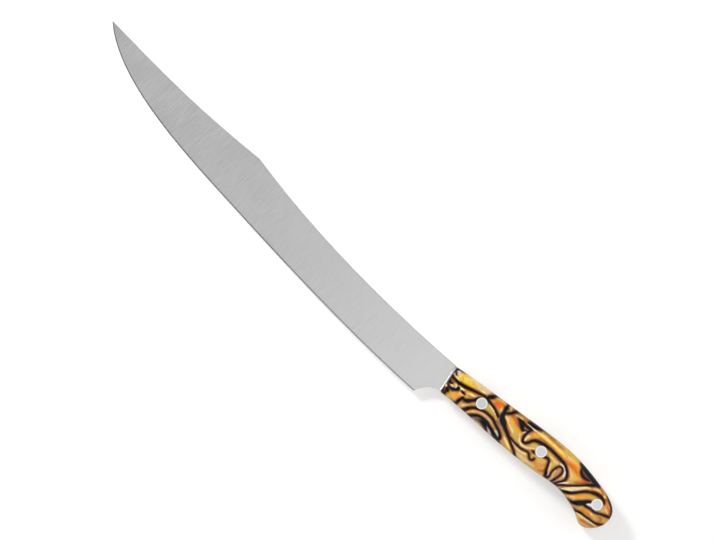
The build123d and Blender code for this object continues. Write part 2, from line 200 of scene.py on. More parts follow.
# Wide bands and pools of colour in the resin, then thin streaks: colour and centre line.
bands = [
    ("yellow", [(4.4, -1.8, 1), (8, -0.8, 1.8), (12, -0.6, 1.6), (15.4, 0.3, 0.8)]),
    ("sand", [(5.4, 1.6, 0.5), (10, 2.4, 0.7), (16, 3.2, 0.9), (20.5, 3.8, 1.1), (24.2, 4.4, 1)]),
    ("peach", [(15, 1.6, 0.5), (18.5, 1.7, 0.7), (22, 2, 0.6)]),
    ("umber", [(2, -5.5, 0.2), (4, -5.6, 0.4), (7.6, -6, 0.4)]),
    ("umber", [(1.4, -6.2, 0.5), (3, -6.5, 0.6), (4.6, -6.9, 0.4)]),
    ("moss", [(2, -9.6, 0.6), (4, -10.4, 0.7), (6, -11.2, 0.9), (7.4, -11.4, 0.5)]),
    ("wine", [(2.8, -13.2, 0.6), (3.8, -15, 1.5), (4.4, -16.6, 1.5)]),
    ("wine", [(1.2, -7.2, 0.5), (2.6, -7.9, 0.5)]),
    ("wine", [(3.4, -11.4, 0.5), (5.2, -12.2, 0.8), (6.2, -13.2, 0.4)]),
    ("orange", [(10.6, -9.8, 0.7), (11.6, -10.9, 1.3), (12.4, -11.8, 0.8)]),
    ("amber", [(7.4, -13.2, 0.8), (9.6, -12.8, 0.9), (11.4, -13.4, 0.8)]),
    ("umber", [(10.4, -15.2, 0.3), (13, -15.2, 0.5)]),
    ("plum", [(16.4, -10.7, 0.6), (17, -11.6, 0.6)]),
    ("rust", [(17.2, -6.2, 0.5), (18.6, -5.9, 0.5), (20, -5.2, 0.2)]),
    ("peach", [(20.8, -9.4, 0.4), (19.6, -11.2, 0.8), (18.8, -13.4, 0.7)]),
    ("tan", [(22.4, -7.4, 0.8), (21.4, -9, 0.5)]),
    ("peach", [(23.4, -14.2, 0.6), (24.8, -12, 0.7), (27, -9.6, 0.7), (29.4, -8.3, 0.5)]),
    ("grey", [(27.8, -14.6, 0.9), (29.4, -13.2, 0.8)]),
    ("slate", [(30.4, -13.2, 1), (32.4, -12.2, 1.5), (35.2, -12, 1.5), (37.4, -13, 0.8)]),
    ("deep orange", [(29.8, 3.2, 0.5), (32.2, 3.9, 1), (35, 4.4, 1.1), (36.8, 4.4, 0.5)]),
    ("red", [(31.4, 2, 0.6), (33.6, 2.3, 1.2), (35.8, 2.2, 1)]),
    ("tan", [(30.6, 5.9, 0.5), (34, 6.6, 0.6), (36.6, 7, 0.5)]),
    ("grey", [(38.2, 7.3, 0.5), (39.6, 7.4, 0.4)]),
    ("grey", [(40, 5.6, 0.5), (41.4, 5, 0.6)]),
    ("umber", [(42, 7.2, 0.6), (44.4, 7, 1), (46.6, 7.8, 0.9), (49, 8.6, 0.6)]),
    ("rust", [(44.4, 4.6, 1.1), (46.6, 4.2, 2.1), (48.8, 3.2, 1.9), (51.2, 2, 1.1)]),
    ("deep orange", [(45.4, 5, 0.4), (47.2, 4.6, 0.7), (49.4, 3.4, 0.5)]),
    ("amber", [(46.2, 2.4, 0.8), (48.8, 1, 1), (51.6, 0.4, 1), (53.4, -0.6, 0.8)]),
    ("rose", [(46.4, -2.2, 0.3), (49.4, -3.2, 0.5), (51.6, -4.4, 0.5)]),
    ("olive", [(52.8, -3.4, 0.4), (54.6, -4.4, 0.8), (57.4, -5, 0.4)]),
    ("olive", [(54.6, -1.6, 0.7), (56.8, -3.4, 0.7)]),
    ("rust", [(49.4, 8.8, 0.4), (51.6, 8.8, 1), (53.4, 8.4, 0.6)]),
    ("rose", [(42.6, -5.6, 0.6), (45.2, -6.2, 0.8), (47.6, -7.2, 0.7), (50.2, -8.4, 0.5)]),
    ("moss", [(39, -4.2, 0.4), (41, -5, 0.5), (42.6, -5.8, 0.3)]),
    ("olive", [(47.6, -6.9, 0.4), (49.2, -7.8, 0.5)]),
    ("rose", [(49.8, -10.4, 0.6), (51.8, -11.2, 0.9), (54.6, -12, 0.7)]),
    ("olive", [(30.4, -3, 1.3), (33, -3.4, 1), (36, -4.2, 0.6)]),
    ("sand", [(29.6, -8.2, 0.5), (33, -7.6, 0.6), (37, -7.7, 0.6), (40.4, -8.6, 0.5)]),
    ("olive", [(40.6, -8.4, 0.5), (43, -9.2, 0.6)]),
    ("grey", [(43, 8.8, 0.6), (46, 9.6, 0.6), (49, 10.2, 0.5)]),
    ("slate", [(54.6, 10.2, 1.2), (57.4, 10.7, 1.4), (61, 11.2, 1.4), (64.6, 11.8, 0.9)]),
    ("umber", [(62.8, 10.8, 0.7), (66, 11.2, 0.8), (70, 11.6, 0.7), (74, 12.4, 0.4)]),
    ("rust", [(69.6, 11, 0.5), (74, 11.5, 0.7), (79, 11.8, 0.8), (81.6, 12, 0.4)]),
    ("tan", [(74, 12.9, 0.4), (80, 13.2, 0.5)]),
    ("mustard", [(82.4, 11.9, 0.5), (86, 12.4, 1), (90, 12.6, 1), (94, 12.6, 0.6)]),
    ("olive", [(91.2, 11.4, 0.4), (93.6, 11.4, 0.5)]),
    ("deep orange", [(60.4, 6, 0.4), (61.6, 6.8, 0.6), (63, 6.8, 0.3)]),
    ("deep orange", [(60.8, 5, 0.6), (62.2, 3.6, 0.4)]),
    ("amber", [(61.6, 5, 0.5), (63.4, 6.2, 1), (66, 7.4, 0.9)]),
    ("rust", [(66, 6.2, 0.5), (68.6, 7.3, 0.8), (71, 7.6, 0.5)]),
    ("olive", [(71.6, 8, 0.5), (73.4, 8.1, 0.5)]),
    ("orange", [(68, 8.2, 0.5), (72, 8.7, 0.6), (77, 8.6, 0.7), (82, 8.6, 0.7)]),
    ("rose", [(75, 7.5, 0.4), (77, 7.5, 0.4)]),
    ("amber", [(79, 8, 0.5), (82.4, 8, 0.8), (84.6, 8, 0.6)]),
    ("orange", [(84.8, 9, 0.9), (89, 8.8, 1.6), (93, 9.4, 1.7), (96.6, 9.2, 1.2)]),
    ("deep orange", [(87.4, 8.2, 0.6), (91, 8.2, 1.1), (94.6, 8.2, 1.1), (97.6, 7.2, 0.8)]),
    ("peach", [(86.6, 10.8, 0.4), (90, 10.9, 0.4), (93.4, 11.4, 0.5), (95.4, 11.4, 0.3)]),
    ("peach", [(90.8, 6.5, 0.4), (93.4, 5.4, 0.7), (95.8, 4.2, 0.8), (97.2, 2.6, 0.5)]),
    ("olive", [(64.4, -1.4, 0.7), (65.4, 0.4, 1.1), (66.8, 1.8, 1), (68.6, 2.8, 0.5)]),
    ("rose", [(66.4, -3.4, 0.4), (68, -3.4, 0.7), (69.4, -4, 0.5)]),
    ("sand", [(62, -10.4, 0.7), (66, -9.9, 0.8), (71, -9, 0.7), (74.4, -8.6, 0.5)]),
    ("gold", [(74.6, -2.8, 0.8), (77, -3.2, 0.9), (78.4, -1.4, 0.4)]),
    ("copper", [(74.4, -6.4, 0.9), (77, -6, 1.5), (79, -4.4, 1.3), (79.6, -2.8, 0.6)]),
    ("rust", [(79.2, -7.8, 0.7), (81.4, -6.2, 0.9), (81.2, -4.6, 0.3)]),
    ("rose", [(78, 5, 0.3), (81, 5, 0.5), (84.2, 4.8, 0.5)]),
    ("olive", [(79.6, 2.6, 0.6), (82.2, 1.6, 0.9), (83.8, 0.6, 0.9), (84.4, -1.4, 0.5)]),
    ("sand", [(83.6, 3.4, 0.7), (85, 2.6, 0.4)]),
    ("rose", [(87.4, 0.4, 0.9), (88.6, 0.6, 0.9), (88.6, -1.4, 1), (88.2, -3.6, 1)]),
    ("sand", [(88.2, -5, 0.8), (87.9, -7.4, 0.6)]),
    ("lilac", [(92.6, -1.2, 0.4), (91.8, -3, 0.5), (91, -5.2, 0.4)]),
    ("mauve", [(98.8, 10.9, 0.7), (101.6, 10.4, 1), (104.2, 10.4, 1), (107.6, 10.2, 0.9)]),
    ("red", [(101.8, 5.6, 0.5), (103.6, 6.9, 0.9), (105.4, 8.2, 0.7)]),
    ("rust", [(99.6, 2.4, 0.5), (101.6, 3.8, 0.8), (103.6, 5.4, 0.8), (106.4, 7.8, 0.7)]),
    ("orange", [(97.6, 6.8, 0.6), (100, 6.2, 0.8), (101.2, 5.2, 0.4)]),
    ("tan", [(97, 1, 0.5), (98.6, 2.2, 0.6)]),
    ("mustard", [(97.8, 3.6, 0.5), (99, 4.4, 0.8)]),
    ("peach", [(103, -6, 0.5), (104.8, -4.6, 0.7), (106.2, -2.8, 0.7)]),
    ("orange", [(106.4, -3.2, 0.6), (108.2, -1.2, 0.8), (110.2, 0.4, 0.8)]),
    ("amber", [(110.6, 1.2, 0.6), (112.6, 2.8, 0.7), (114.2, 4, 0.6)]),
    ("rose", [(112.6, 0.4, 0.3), (114.2, 1.6, 0.5), (115.4, 2.6, 0.3)]),
    ("mustard", [(112.8, 3.4, 0.5), (114.4, 4.4, 1), (115.8, 5.2, 0.7)]),
    ("rust", [(111.4, 7.2, 0.3), (113.2, 8, 0.5), (115.8, 8.6, 0.5), (117.6, 8.6, 0.3)]),
    ("rust", [(113, 11, 0.4), (115.4, 10.9, 0.8), (117.4, 10.4, 0.6)]),
    ("yellow", [(119.3, 8.9, 0.5), (119.9, 10.2, 0.6), (119.6, 11.8, 0.5)]),
    ("deep orange", [(121.4, 8.9, 0.7), (123.6, 7.9, 1.1), (126, 6.6, 1.2), (128.4, 4.9, 0.9)]),
    ("tan", [(123.6, 3, 0.5), (125.4, 3.6, 0.8), (128, 3.8, 0.6)]),
    ("rust", [(126.6, 2.4, 0.3), (128.6, 3.4, 0.5), (129.6, 4.4, 0.3)]),
    ("copper", [(112.6, -7.2, 0.6), (115, -6.2, 1), (118, -5.2, 1), (120.6, -4.6, 0.7)]),
    ("orange", [(114.6, -5.2, 0.4), (116.8, -4.6, 0.6), (119.4, -3.8, 0.7), (121.6, -3.4, 0.6)]),
    ("olive", [(123, -3.2, 0.5), (124.4, -4, 0.7)]),
    ("copper", [(125.2, -2.8, 0.8), (127.6, -2.2, 1.2), (127, -4.4, 0.8)]),
    ("rust", [(126, -2.2, 0.5), (127.6, -1.8, 0.6), (127.2, -4, 0.4)]),
    ("olive", [(128.8, -0.4, 0.5), (130.2, 0.4, 0.6)]),
    ("rose", [(118.6, -6, 0.4), (121.2, -5.7, 0.6), (123.6, -5.6, 0.3)]),
    ("tan", [(110.4, -7.8, 0.7), (112.8, -7, 0.9), (114.6, -6.6, 0.5)]),
    ("plum", [(110.6, -6.3, 0.3), (112.2, -5.2, 0.3)]),
    ("olive", [(115.2, -10.6, 0.5), (117, -11, 0.8)]),
    ("rust", [(118.6, -11.2, 0.6), (121.4, -10.2, 1), (124.6, -9.2, 0.9), (127.2, -8.4, 0.5)]),
    ("tan", [(119, -12.8, 0.5), (122.4, -12.4, 0.7), (126, -10.6, 0.5)]),
    ("orange", [(17, -19, 0.8), (30, -16.8, 0.6), (38, -18.8, 1.2), (47, -18, 0.8)]),
    ("sand", [(54, -16, 0.8), (60, -15.6, 1), (70, -14.8, 0.8), (80, -14.8, 0.6)]),
    ("rust", [(56, -18, 0.8), (62, -17.4, 0.9), (70.4, -17, 1), (78, -16, 0.7)]),
    ("copper", [(96, -12.6, 0.8), (106, -11.6, 0.6), (114, -15, 0.8), (124, -15, 0.8)]),
    ("orange", [(14, 10, 1), (26, 9.6, 1.2), (33, 10.6, 1), (41, 11.6, 1)]),
    ("rust", [(47.6, 12, 0.6), (56, 16.4, 1), (66, 14.4, 0.6), (72.6, 17.8, 1)]),
    ("yellow", [(77, 17.6, 0.8), (83, 17.8, 0.8), (88, 16, 0.5)]),
    ("copper", [(134.4, 3.4, 0.9), (134.2, -0.6, 0.9), (133.4, -6, 0.9)]),
]
streaks = [
    ("lilac", [(2, 0.4, 0.4), (2.8, -0.2, 0.95), (3.4, -1.2, 0.6)]),
    ("rose", [(3.2, -14.4, 0.2), (4, -14.6, 0.4)]),
    ("gold cream", [(4.9, 0.6, 0.2), (4.6, -1, 0.35), (5.2, -2, 0.2)]),
    ("amber", [(5.6, -0.6, 0.3), (7, -1.5, 0.5), (8.8, -2.5, 0.4)]),
    ("cream", [(1.2, -3.2, 0.3), (3, -3.2, 0.35), (5, -3.5, 0.5), (7, -3.8, 0.3)]),
    ("gold", [(13, 0.2, 0.2), (14.6, 0.9, 0.4), (16.8, 1.6, 0.2)]),
    ("cream", [(18.8, 1.5, 0.2), (20.6, 1.5, 0.4), (22.6, 2, 0.4), (24, 2.4, 0.2)]),
    ("cream", [(9, -6.2, 0.3), (10.6, -6.3, 0.75), (12.4, -5.9, 0.5)]),
    ("gold cream", [(15.4, -5.6, 0.3), (16.9, -4.9, 0.5), (19, -4.2, 0.5), (20.6, -3.3, 0.25)]),
    ("cream", [(6.2, -6.6, 0.2), (7.4, -7.3, 0.4), (7.7, -8.5, 0.35)]),
    ("cream", [(4.4, -9.1, 0.3), (5.4, -9.2, 0.75), (6.2, -9, 0.3)]),
    ("cream", [(2.4, -11.7, 0.3), (3.1, -11.9, 0.6), (3.6, -12.2, 0.2)]),
    ("peach", [(11.6, -8.8, 0.3), (13.2, -8.8, 0.5), (14.6, -8.4, 0.2)]),
    ("cream", [(29.4, -1.3, 0.2), (31.6, -1.6, 0.5), (34.4, -2, 0.4), (36.6, -3, 0.3)]),
    ("peach", [(36, -2.4, 0.2), (37.6, -3.3, 0.3), (39, -4.6, 0.3)]),
    ("peach", [(36.4, 2.4, 0.3), (37.2, 1.7, 0.45), (37.2, 0.8, 0.2)]),
    ("gold", [(40.4, 6.8, 0.3), (41.4, 6, 0.5), (42, 5.4, 0.2)]),
    ("moss", [(40.2, 4.5, 0.4), (41.4, 4.6, 0.4)]),
    ("peach", [(42.2, 0.9, 0.5), (43.8, 0.5, 0.9), (45.4, 0, 0.4)]),
    ("gold cream", [(45.6, -0.8, 0.25), (48.4, -1.5, 0.5), (50.8, -2.3, 0.5), (52.4, -3.2, 0.25)]),
    # partly the resin's cream and partly a painted highlight along the start of the upper rounding
    ("cream", [(45.8, 6.1, 0.2), (48.2, 6.7, 0.3), (50.8, 7.1, 0.25)]),
    ("grey", [(53.8, 4.7, 0.3), (54.9, 4.6, 0.3)]),
    ("cream", [(56.2, 1.2, 0.2), (56.7, 2.1, 0.5), (57, 3, 0.2)]),
    # painted highlight: a white line along the start of the upper rounding
    ("white", [(55.2, 7.3, 0.2), (57.6, 7.3, 0.35), (60.2, 7.6, 0.35), (62, 7.9, 0.2)]),
    ("gold cream", [(50, -8.5, 0.3), (52.4, -9.5, 0.6), (55, -10.4, 0.6), (57.6, -11.2, 0.4)]),
    ("peach", [(55.2, -0.4, 0.2), (56.8, -1.9, 0.35), (58, -2.9, 0.3)]),
    ("cream", [(57.4, -2.6, 0.3), (59, -3.9, 0.5), (61, -4.3, 0.6), (63.2, -4, 0.55), (65, -3, 0.45),
        (66.8, -1.6, 0.4), (68.4, -0.5, 0.3)]),
    ("cream", [(60.5, -1, 0.45), (60.2, 0.8, 0.55), (60.3, 2.8, 0.4)]),
    # partly the resin's gold cream and partly a painted highlight along the upper rounding
    ("gold cream", [(61.4, 7.9, 0.2), (64, 8.4, 0.55), (67.5, 8.8, 0.7), (71, 9.1, 0.75), (75, 9.4, 0.75),
        (79, 9.6, 0.75), (82.6, 9.7, 0.55), (84.8, 9.6, 0.3)]),
    ("gold cream", [(78, 2.9, 0.2), (80.8, 3.1, 0.55), (83, 2.6, 0.3)]),
    ("cream", [(81.6, 0.6, 0.3), (82.8, -1.6, 0.45), (84, -3.7, 0.4)]),
    ("lilac", [(84.2, -4.1, 0.3), (84.9, -5.2, 0.55), (85.2, -6.2, 0.3)]),
    ("peach", [(86.8, -0.6, 0.3), (86.9, -2.4, 0.3), (87.4, -4.4, 0.3)]),
    ("white", [(86.2, 4.4, 0.3), (88.4, 4.5, 0.5), (90.4, 3.9, 0.55), (91.8, 2.5, 0.55), (92.6, 0.4, 0.5)]),
    ("white", [(97.8, -0.4, 0.25), (96.2, -1.8, 0.4), (94.7, -3.4, 0.4), (93.2, -5.1, 0.3)]),
    ("cream", [(97.6, -5.8, 0.5), (99.8, -3.6, 1), (101.8, -1.5, 1.2), (103.7, 0.8, 1.1),
        (105.4, 2.9, 0.95), (107.1, 4.9, 0.7), (109.2, 6.6, 0.5)]),
    ("lilac", [(101.4, -2.6, 0.2), (103.2, -0.9, 0.35), (104.8, 0.6, 0.2)]),
    ("white", [(114.6, -1.5, 0.5), (115.8, -0.9, 0.75), (117.4, -0.2, 0.75)]),
    ("peach", [(111.2, 7.8, 0.3), (113, 9.1, 0.6), (115, 9.6, 0.5), (116.6, 9.4, 0.2)]),
    ("gold cream", [(118.8, 9.4, 0.3), (119.8, 9.1, 0.5)]),
    ("peach", [(122.6, 7.9, 0.15), (124.6, 7.4, 0.2), (127, 6.2, 0.2)]),
    ("peach", [(124.6, 4.6, 0.3), (126.4, 3.9, 0.5), (128, 3.2, 0.2)]),
    ("gold cream", [(120, -3.6, 0.2), (121.4, -3.9, 0.4), (122.4, -3.6, 0.2)]),
    ("cream", [(114, -9.7, 0.3), (117.5, -9.2, 0.55), (121, -8.5, 0.55), (125, -7.8, 0.5),
        (128.4, -7, 0.3)]),
    ("sage", [(43.4, -9.8, 0.5), (45.2, -10.2, 0.8), (46.6, -10.9, 0.5)]),
    ("lilac", [(38, -11.4, 0.25), (39.8, -12, 0.35), (41.6, -12.8, 0.4), (43.2, -13.8, 0.3)]),
    ("grey", [(31.4, -10.8, 0.2), (33, -10.7, 0.25), (34.8, -10.9, 0.15)]),
    ("lilac", [(55.4, -6.9, 0.2), (57, -7.5, 0.3), (58.8, -7.6, 0.2)]),
    ("cream", [(58.8, -8, 0.2), (61, -7.9, 0.45), (63.4, -7.8, 0.4), (66.6, -6.6, 0.4)]),
]

# Colours of the resin, as they look in daylight (sRGB).
colours = {
    "gold": (213, 169, 91),
    "gold cream": (255, 224, 120),
    "cream": (242, 226, 168),
    "white": (244, 240, 232),
    "lilac": (206, 190, 204),
    "sage": (190, 202, 180),
    "grey": (140, 138, 138),
    "peach": (250, 196, 128),
    "yellow": (240, 208, 44),
    "mustard": (206, 178, 46),
    "amber": (228, 164, 34),
    "orange": (244, 146, 28),
    "deep orange": (210, 100, 14),
    "red": (226, 74, 24),
    "rust": (176, 92, 38),
    "copper": (208, 130, 46),
    "tan": (196, 158, 104),
    "sand": (224, 204, 160),
    "rose": (190, 142, 116),
    "plum": (140, 72, 82),
    "mauve": (112, 86, 98),
    "umber": (112, 80, 56),
    "olive": (196, 172, 76),
    "moss": (104, 100, 56),
    "wine": (72, 36, 42),
    "slate": (56, 60, 72),
}

# Looks. Two numbers under one name are a range. Noises are scaled per metre.
white = (1, 1, 1, 1)
noise_span = 0.3, 0.7  # most of a noise's values
noise_pair_span = 0.6, 1.4  # and of the sum of two
blade_tint = (0.8, 0.805, 0.8, 1)
# painted dark reflection on the blade's back and choil bevels, picked by which way they face
painted_bevel_shade = (0.22, 0.22, 0.225, 1)
bevel_rise, bevel_spread = 0.32, 0.2  # of the normals of the back's and the choil's bevels, which get painted dark reflection
rivet_tint = (0.74, 0.76, 0.755, 1)
blade_grain, rivet_grain = (2600, 90, 2600), (1800, 1800, 90)
cloud_scale = 60
steel_roughness = 0.19, 0.27
steel_shade = 0.96, 1.04
grain_strength, grain_depth = 0.08, 0.02 * mm
painted_ring_span = 0.74, 0.84  # shares of a rivet's radius in which its painted highlight ring begins
painted_ring_metal = 0.3
ragged_scale, haze_scale, speckle_scale, polish_scale = 900, 260, 520, 120
ragged_reach = 0.22  # of the veins' borders, in marble units
band_pace, band_drift = 2.8, 9  # radians per marble unit, and over the haze
band_shade = 0.95, 1.05
speckle_shade = 0.86, 1.14
pale_span, pale_shade = (0.9, 2.2), 1.08  # clear of the veins the resin is paler
haze_saturation = 0.9, 1.08
vein_hearts = (0.006, 0.002, 0.002, 1), (0.003, 0.004, 0.006, 1)  # brown, then slate
vein_rims = (0.05, 0.013, 0.013, 1), (0.02, 0.024, 0.03, 1)
heart_span = -0.5, -0.05
vein_span = -0.15, 0.36
resin_roughness = 0.08, 0.15
resin_ior, resin_specular = 1.49, 0.15

# Camera and floor
view_right = Vector((0.7028, 0.7114, 0))
view_up = Vector((-0.7114, 0.7028, 0))
view_offset = Vector((213.8, -0.4, 0)) * mm  # of the picture's middle from tip and marble origin
view_width = 438.2 * mm
camera_height = 2.434
sensor_width = 36
half_floor = 6
floor_gap = 0.1 * mm  # under the knife
floor_colour = (0.7, 0.7, 0.7, 1)
floor_glow = 0.4
tip_clearance = 50 * mm  # the floor's slope ignores what is nearer to the tip

# Studio light. The turns are parts of a direction's X, Y or Z over which the sky changes.
sky_dim, sky_bright, sky_turn = 0.4, 1.1, (-0.05, 0.085)
sky_rear, sky_rear_turn = 0.7, (0.2, 0.5)  # share of that behind the butt
sky_far, sky_far_turn = 1.1, (-0.72, -0.95)  # more than that beyond the tip
sky_low, sky_low_turn = 0.15, (0.45, 0.1)  # more than that near the horizon
sky_dark = 0.3  # share of it in a dark band on the cutting edge's side
band_x, band_length = -0.08, (0.25, 0.4)
band_y, band_width = -0.42, (0.12, 0.3)
key_power = 9.6
key_size = 0.25
key_place = Vector((-0.9, 0.12, 1))


def linear(colour):
    """A colour of the table in linear light."""
    share = np.array(colours[colour]) / 255
    return np.where(share <= 0.04045, share / 12.92, ((share + 0.055) / 1.055) ** 2.4)


def ease(share):
    """A share from 0 to 1 that starts and ends softly."""
    return share * share * (3 - 2 * share)


# Shapes
def smooth_curve(points, step):
    """Points in even steps along a smooth curve through the given ones. Further columns ride along."""
    points = np.asarray(points, float)
    lengths = np.linalg.norm(np.diff(points[:, :2], axis=0), axis=1)
    along = np.concatenate(([0], np.cumsum(lengths)))
    count = len(points)
    system = np.eye(count)
    target = np.zeros_like(points)
    for i in range(1, count - 1):
        before, after = lengths[i - 1], lengths[i]
        system[i, i - 1 : i + 2] = before, 2 * (before + after), after
        target[i] = 6 * ((points[i + 1] - points[i]) / after - (points[i] - points[i - 1]) / before)
    bend = np.linalg.solve(system, target)
    place = np.linspace(0, along[-1], max(2, round(along[-1] / step)))
    i = np.clip(np.searchsorted(along, place, side="right") - 1, 0, count - 2)
    span = lengths[i][:, None]
    a = (along[i + 1] - place)[:, None] / span
    b = 1 - a
    return (a * points[i] + b * points[i + 1]
            + ((a**3 - a) * bend[i] + (b**3 - b) * bend[i + 1]) * span**2 / 6)


def bottom_border(mesh):
    """The longest border of the faces that look down, as points in order."""
    edges, place = {}, {}
    for face in mesh.polygons:
        if face.normal.z < -nearly:
            corners = [mesh.vertices[i].co for i in face.vertices]
            keys = [(round(c.x / mm, 3), round(c.y / mm, 3)) for c in corners]
            for key, corner in zip(keys, corners):
                place[key] = (corner.x, corner.y)
            edges.update(dict.fromkeys(zip(keys, keys[1:] + keys[:1])))
    follow = {a: b for a, b in edges if (b, a) not in edges}
    loops = []
    while follow:
        key = next(iter(follow))
        loop = []
        while key in follow:
            loop.append(place[key])
            key = follow.pop(key)
        loops.append(np.array(loop))
    return max(loops, key=lambda loop: np.ptp(loop[:, 0]))


def scale_outline(node):
    """Outline of a scale against the tang, read from its CAD node: the rim from the top of the
    front round the butt to the bottom of the front, in fine even steps."""
    loop = bottom_border(node.data)
    ahead = np.roll(loop, -1, axis=0)
    # The front is the long straight edge with the least X.
    straight = np.linalg.norm(ahead - loop, axis=1) > straight_length
    front_edge = int(np.argmin(np.where(straight, (ahead + loop)[:, 0], np.inf)))
    loop = np.roll(loop, -front_edge - 1, axis=0)
    if loop[0, 1] < loop[-1, 1]:
        loop = loop[::-1]
    front = loop[-1] - loop[0]
    front /= np.linalg.norm(front)
    # Leave out the small rounded corners at both ends of the front and run on to the front line.
    off_front = np.abs(np.cross(loop - loop[0], front))
    curve = smooth_curve(loop[off_front > front_rounding * nearly], rim_step)
    ends = []
    for end, inner in ((curve[0], curve[1]), (curve[-1], curve[-2])):
        out = end - inner
        reach = np.cross(loop[0] - end, front) / np.cross(out, front)
        ends.append(end + out * reach)
    return np.vstack([ends[0], curve, ends[1]])


def walk(line, stations):
    """Points and left-hand normals of a fine polyline at distances along it."""
    along = np.concatenate(([0], np.cumsum(np.linalg.norm(np.diff(line, axis=0), axis=1))))
    points = np.stack([np.interp(stations, along, line[:, k]) for k in (0, 1)], axis=1)
    slope = np.gradient(line, along, axis=0)
    tangents = np.stack([np.interp(stations, along, slope[:, k]) for k in (0, 1)], axis=1)
    tangents /= np.linalg.norm(tangents, axis=1)[:, None]
    return points, np.stack([-tangents[:, 1], tangents[:, 0]], axis=1)


def rim_columns(rim, front):
    """Points and inward directions of the mesh's columns along the rim's upper and lower half."""
    apex = int(np.argmax(rim @ butt_end))
    halves = rim[: apex + 1], rim[apex:][::-1]
    lengths = [np.linalg.norm(np.diff(half, axis=0), axis=1).sum() for half in halves]
    count = round(max(lengths) / cell)
    columns = []
    for half, length, turn in zip(halves, lengths, (-1, 1)):
        stations = np.concatenate([front_steps[:-1], np.linspace(front_steps[-1], length, count)])
        points, normals = walk(half, stations)
        normals *= turn
        # Near the front the inward direction turns into the front line's.
        near = ease(np.clip(1 - stations / turn_length, 0, 1)[:, None])
        inward = normals * (1 - near) + front * -turn * near
        inward /= np.sum(inward * normals, axis=1)[:, None]
        columns.append((points, inward))
    return columns


def rounded_side(rim, columns):
    """Plan of the side face's grid, and how far below the flat side it lies: one row of points
    for each column, from the upper rim over its rounding and the flat part to the lower rim."""
    angles = np.linspace(0, pi / 2, rounding_rows + 1)
    depth = edge_rounding * (1 - np.cos(angles))
    rise = edge_rounding * (np.sin(angles) - 1)
    up, down = (points[:, None] + inward[:, None] * depth[None, :, None] for points, inward in columns)
    share = np.linspace(0, 1, flat_cells + 1)[1:-1][None, :, None]
    flat = up[:, -1:] * (1 - share) + down[:, -1:] * share
    plan = np.concatenate([up, flat, down[:, ::-1]], axis=1)
    # The flat part sinks where it comes nearer to the rim than the rounding.
    off_rim = nearest(flat.reshape(-1, 2), rim[::4])[0].reshape(flat.shape[:2])
    inside = np.clip(edge_rounding - off_rim, 0, edge_rounding)
    sink = np.sqrt(edge_rounding**2 - inside**2) - edge_rounding
    side_rise = np.broadcast_to(rise, (len(plan), len(rise)))
    return plan, np.concatenate([side_rise, sink, side_rise[:, ::-1]], axis=1)


def lower_front(plan, height, front_top, front):
    """Lowers the side face towards the front, along lines that lean as the front does, and over
    the rounding of the front edge."""
    lean = front[0] / -front[1]
    flat_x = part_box("front_rivet_tube")[0].x - flat_lead
    axis_y = (front_top + marble_offset)[1]
    x = plan[..., 0] + lean * (plan[..., 1] - axis_y)
    start = front_top[0] + lean * (front_top[1] - axis_y) - front_overrun
    run = flat_x - start
    radius = (run**2 + front_drop**2) / (2 * front_drop)
    before = np.clip(flat_x - x, 0, run)
    height = height - (radius - np.sqrt(radius**2 - before**2))
    behind = (plan - front_top) @ np.array([-front[1], front[0]])
    near = np.clip(front_rounding - behind, 0, front_rounding)
    return height - (front_rounding - np.sqrt(front_rounding**2 - near**2))


def round_corner(plan, corner, along_rim, along_front):
    """Moves the plan's points at one end of the front into its rounded corner."""
    along_rim = along_rim / np.linalg.norm(along_rim)
    basis = np.linalg.inv(np.stack([along_rim, along_front], axis=1))
    share = 1 - (plan - corner) @ basis.T / front_rounding
    inside = (share[..., 0] > 0) & (share[..., 1] > 0)
    size = np.linalg.norm(share, axis=-1)
    squeeze = np.where(inside, np.max(share, axis=-1) / np.where(size > 0, size, 1), 1)[..., None]
    moved = corner + ((1 - share * squeeze) * front_rounding) @ np.stack([along_rim, along_front])
    return np.where(inside[..., None], moved, plan)


def scale_surface(node):
    """Grids of the left scale's surface: side face, and walls round it, as arrays of points."""
    rim = scale_outline(node)
    low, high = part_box("left_scale")
    front_top, front_bottom = rim[0], rim[-1]
    front = (front_bottom - front_top) / np.linalg.norm(front_bottom - front_top)
    columns = rim_columns(rim, front)
    plan, height = rounded_side(rim, columns)
    height = lower_front(plan, high.z + height, front_top, front)
    for corner, (points, inward), along_front in zip((front_top, front_bottom), columns, (front, -front)):
        plan = round_corner(plan, corner, points[past_corner] - points[0], along_front)

    face = np.concatenate([plan, height[..., None]], axis=2)
    shares = np.linspace(0, 1, wall_rows + 1)[:, None, None]
    walls = []
    for edge in (face[:, 0], face[:, -1], face[0]):
        foot = edge.copy()
        foot[:, 2] = low.z
        walls.append(foot[None] * (1 - shares) + edge[None] * shares)
    return face, walls, front_top + marble_offset


def nearest(points, line, widths=0.0):
    """Least distance from each point to the line's points, less their half widths, and which of
    them it is."""
    gap, index = np.empty(len(points)), np.empty(len(points), int)
    for start in range(0, len(points), batch):
        part = slice(start, start + batch)
        gaps = np.hypot(*(points[part, None, k] - line[None, :, k] for k in (0, 1))) - widths
        gap[part], index[part] = gaps.min(axis=1), gaps.argmin(axis=1)
    return gap, index


def add_grid(mesh, grid, flip):
    """Adds a grid of points to a mesh, with a face between each four."""
    rows = [[mesh.verts.new(point) for point in row] for row in grid]
    for row, after in zip(rows, rows[1:]):
        for a, b, c, d in zip(row, row[1:], after[1:], after):
            mesh.faces.new((a, b, c, d) if flip else (d, c, b, a))


def link(name, data):
    piece = bpy.data.objects.new(name, data)
    bpy.context.scene.collection.objects.link(piece)
    return piece


def link_mesh(name, mesh):
    data = bpy.data.meshes.new(name)
    mesh.to_mesh(data)
    mesh.free()
    return link(name, data)


